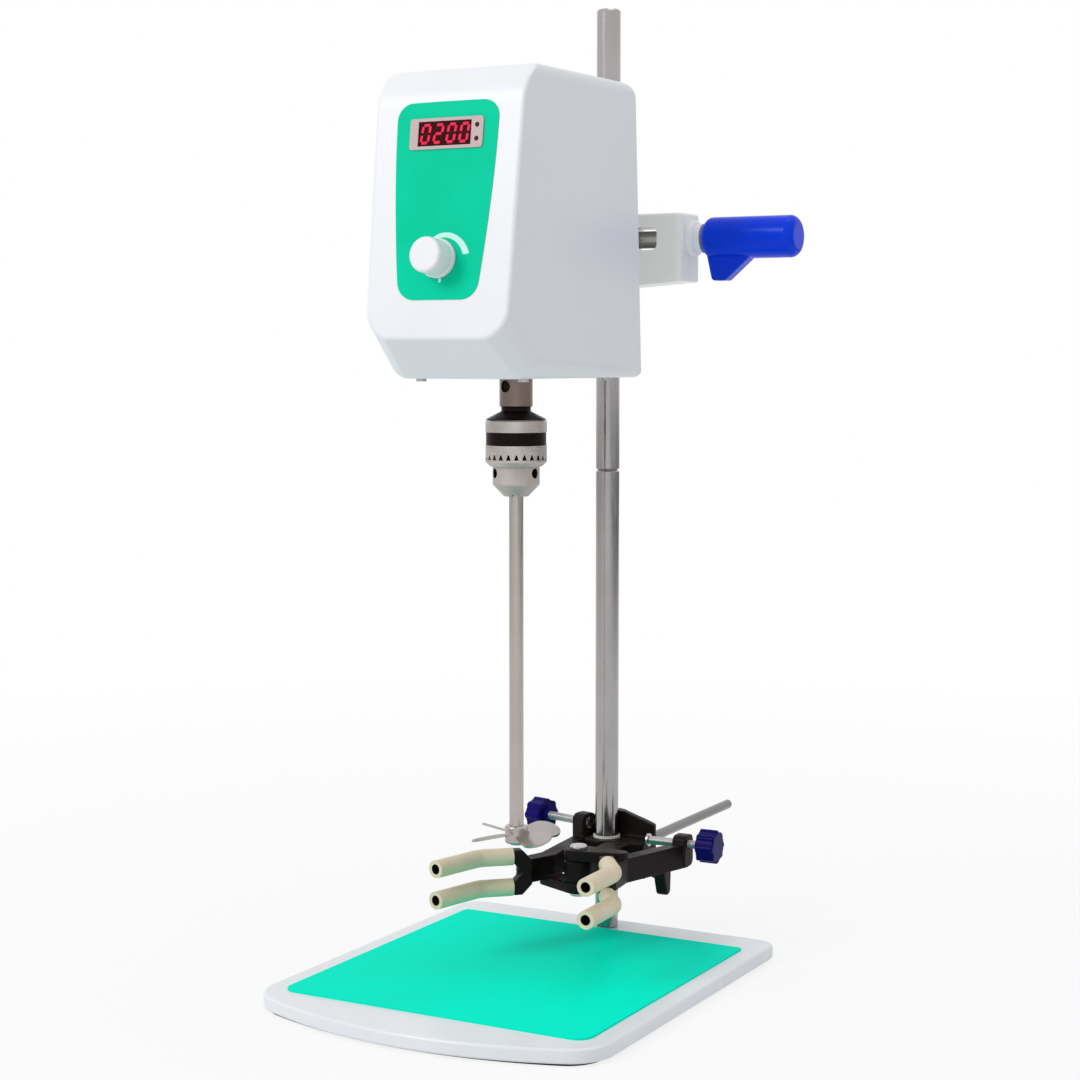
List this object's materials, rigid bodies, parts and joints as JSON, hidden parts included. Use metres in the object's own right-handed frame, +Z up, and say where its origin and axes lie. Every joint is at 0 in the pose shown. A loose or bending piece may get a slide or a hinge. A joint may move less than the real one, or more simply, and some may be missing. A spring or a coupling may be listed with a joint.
{
  "type": "overhead laboratory stirrer",
  "caption": "Overhead stirrer: leaning drive head on a column stand, keyed chuck with stir shaft and propeller, bow-fronted base with mat, and a jawed vessel clamp on the column.",
  "frame": {"origin": "on the bench under the base, straight below the stirring axis", "axes": "+Z up along the stirring axis, +Y to the rear towards the column, +X to the right of the front panel"},
  "size_m": [0.227, 0.391, 0.557],
  "materials": {
    "white_coat": "smooth off-white coating",
    "dark_rubber": "matte",
    "green_mat": "fine matte grain",
    "steel": "bright turned steel",
    "white_moulding": "light satin white",
    "green_panel": "glossy printed film",
    "silver_trim": "silver metallic",
    "display_lens": "dark red tint",
    "led_lens": "clear coloured",
    "circuit_board": "solder resist",
    "dark_plastic": "fine grain",
    "steel_sheet": "zinc finish",
    "alloy": "machined",
    "white_casting": "white coated casting",
    "brass_pad": "machined",
    "white_bush": "natural",
    "blue_grip": "satin",
    "white_knob": "satin white",
    "black_casting": "black textured coating",
    "cream_rubber": "soft matte",
    "blue_knob": "satin"
  },
  "bodies": {
    "stand": {"base_plate": "white_coat", "base_liner": "dark_rubber", "work_mat": "green_mat", "column_lower": "steel", "column_upper": "steel", "column_stud": "steel", "foot_screw": "steel"},
    "head_bush": {"column_bush": "white_bush"},
    "head": {"housing_shell": "white_moulding", "rear_cover": "white_moulding", "bottom_plate": "white_moulding", "front_panel": "green_panel", "display_bezel": "silver_trim", "display_window": "display_lens", "indicator_leds": "led_lens", "control_board": "circuit_board", "potentiometer": "dark_plastic", "chassis": "steel_sheet", "motor_plate": "steel_sheet", "motor_can": "steel_sheet", "bearing_housing": "alloy", "spindle_bearings": "steel", "mains_inlet": "dark_plastic", "power_switch": "dark_plastic", "head_bracket": "white_casting", "lever_collar": "white_moulding", "pressure_pad": "brass_pad", "cover_screws": "steel", "bracket_bolts": "steel"},
    "lever": {"lever_handle": "blue_grip", "lever_screw": "steel"},
    "spindle": {"spindle_shaft": "steel", "spindle_gear": "white_bush", "chuck_adapter": "steel", "chuck_body": "steel", "stir_shaft": "steel", "propeller": "steel"},
    "rotor": {"motor_pinion": "steel"},
    "knob": {"speed_knob": "white_knob"},
    "sleeve": {"chuck_sleeve": "steel", "chuck_nut": "steel"},
    "chuck_jaw_one": {"chuck_jaw_1": "steel"},
    "chuck_jaw_two": {"chuck_jaw_2": "steel"},
    "chuck_jaw_three": {"chuck_jaw_3": "steel"},
    "rocker": {"power_rocker": "dark_plastic"},
    "boss_bush": {"clamp_bush": "white_bush"},
    "clamp": {"clamp_boss": "black_casting", "clamp_stem": "steel", "pivot_pin": "steel"},
    "wing_screw": {"boss_screw": "steel", "boss_wing": "dark_plastic"},
    "jaw_left": {"clamp_jaw_left": "black_casting", "finger_sleeves_left": "cream_rubber"},
    "jaw_right": {"clamp_jaw_right": "black_casting", "finger_sleeves_right": "cream_rubber"},
    "foot_left": {"thumb_foot_left": "steel"},
    "foot_right": {"thumb_foot_right": "steel"},
    "thumb_left": {"thumbscrew_left": "blue_knob"},
    "thumb_right": {"thumbscrew_right": "blue_knob"}
  },
  "joints": [
    {"name": "head_lift", "type": "slide", "parent": "stand", "child": "head_bush", "axis": [0, 0, 1], "range_m": [-0.03, 0.1]},
    {"name": "head_swivel", "type": "hinge", "parent": "head_bush", "child": "head", "pos_m": [0, 0.111, 0.416], "axis": [0, 0, 1], "range_deg": [-45, 45]},
    {"name": "head_lever", "type": "hinge", "parent": "head", "child": "lever", "pos_m": [0.06, 0.111, 0.4225], "axis": [1, 0, 0], "range_deg": [0, 300]},
    {"name": "spindle_turn", "type": "hinge", "parent": "head", "child": "spindle", "pos_m": [0, 0, 0.36], "axis": [0, 0, 1], "continuous": true},
    {"name": "rotor_turn", "type": "hinge", "parent": "head", "child": "rotor", "pos_m": [0, 0.0252, 0.377], "axis": [0, 0, 1], "continuous": true},
    {"name": "speed_turn", "type": "hinge", "parent": "head", "child": "knob", "pos_m": [0, -0.08554, 0.4058], "axis": [0, -0.9914, 0.1305], "range_deg": [-270, 0]},
    {"name": "chuck_key_turn", "type": "hinge", "parent": "spindle", "child": "sleeve", "pos_m": [0, 0, 0.307], "axis": [0, 0, 1], "range_deg": [0, 1026]},
    {"name": "jaw_slide_1", "type": "slide", "parent": "spindle", "child": "chuck_jaw_one", "axis": [0.104, 0.139, 0.9848], "range_m": [0, 0.0057]},
    {"name": "jaw_slide_2", "type": "slide", "parent": "spindle", "child": "chuck_jaw_two", "axis": [-0.1724, 0.0206, 0.9848], "range_m": [0, 0.0057]},
    {"name": "jaw_slide_3", "type": "slide", "parent": "spindle", "child": "chuck_jaw_three", "axis": [0.0684, -0.1596, 0.9848], "range_m": [0, 0.0057]},
    {"name": "power_rock", "type": "hinge", "parent": "head", "child": "rocker", "pos_m": [0.022, 0.0514, 0.475], "axis": [0, 0, 1], "range_deg": [-16, 0]},
    {"name": "clamp_lift", "type": "slide", "parent": "stand", "child": "boss_bush", "axis": [0, 0, 1], "range_m": [-0.02, 0.2]},
    {"name": "clamp_swivel", "type": "hinge", "parent": "boss_bush", "child": "clamp", "pos_m": [0, 0.111, 0.06], "axis": [0, 0, 1], "range_deg": [-45, 45]},
    {"name": "boss_wing_turn", "type": "hinge", "parent": "clamp", "child": "wing_screw", "pos_m": [0.03, 0.111, 0.048], "axis": [1, 0, 0], "range_deg": [0, 300]},
    {"name": "left_jaw_swing", "type": "hinge", "parent": "clamp", "child": "jaw_left", "pos_m": [0.013, 0.05, 0.0585], "axis": [0, 0, 1], "range_deg": [0, 20]},
    {"name": "right_jaw_swing", "type": "hinge", "parent": "clamp", "child": "jaw_right", "pos_m": [0.013, 0.05, 0.0585], "axis": [0, 0, -1], "range_deg": [-5, 5]},
    {"name": "left_screw_feed", "type": "slide", "parent": "jaw_left", "child": "foot_left", "axis": [0.9767, -0.2147, 0], "range_m": [0, 0.0202]},
    {"name": "right_screw_feed", "type": "slide", "parent": "jaw_right", "child": "foot_right", "axis": [-0.9992, -0.0401, 0], "range_m": [-0.0051, 0.0051]},
    {"name": "left_thumb_turn", "type": "hinge", "parent": "foot_left", "child": "thumb_left", "pos_m": [-0.03379, 0.1166, 0.072], "axis": [-0.9767, 0.2147, 0], "continuous": true},
    {"name": "right_thumb_turn", "type": "hinge", "parent": "foot_right", "child": "thumb_right", "pos_m": [0.05076, 0.10656, 0.067], "axis": [0.9992, 0.0401, 0], "continuous": true}
  ],
  "couplings": [
    {"joint": "rotor_turn", "follows": "spindle_turn", "ratio": -2.5},
    {"joint": "jaw_slide_1", "follows": "chuck_key_turn", "m_per_rad": 0.00031828},
    {"joint": "jaw_slide_2", "follows": "chuck_key_turn", "m_per_rad": 0.00031828},
    {"joint": "jaw_slide_3", "follows": "chuck_key_turn", "m_per_rad": 0.00031828},
    {"joint": "left_screw_feed", "follows": "left_jaw_swing", "m_per_rad": 0.0575},
    {"joint": "right_screw_feed", "follows": "right_jaw_swing", "m_per_rad": 0.0575}
  ]
}
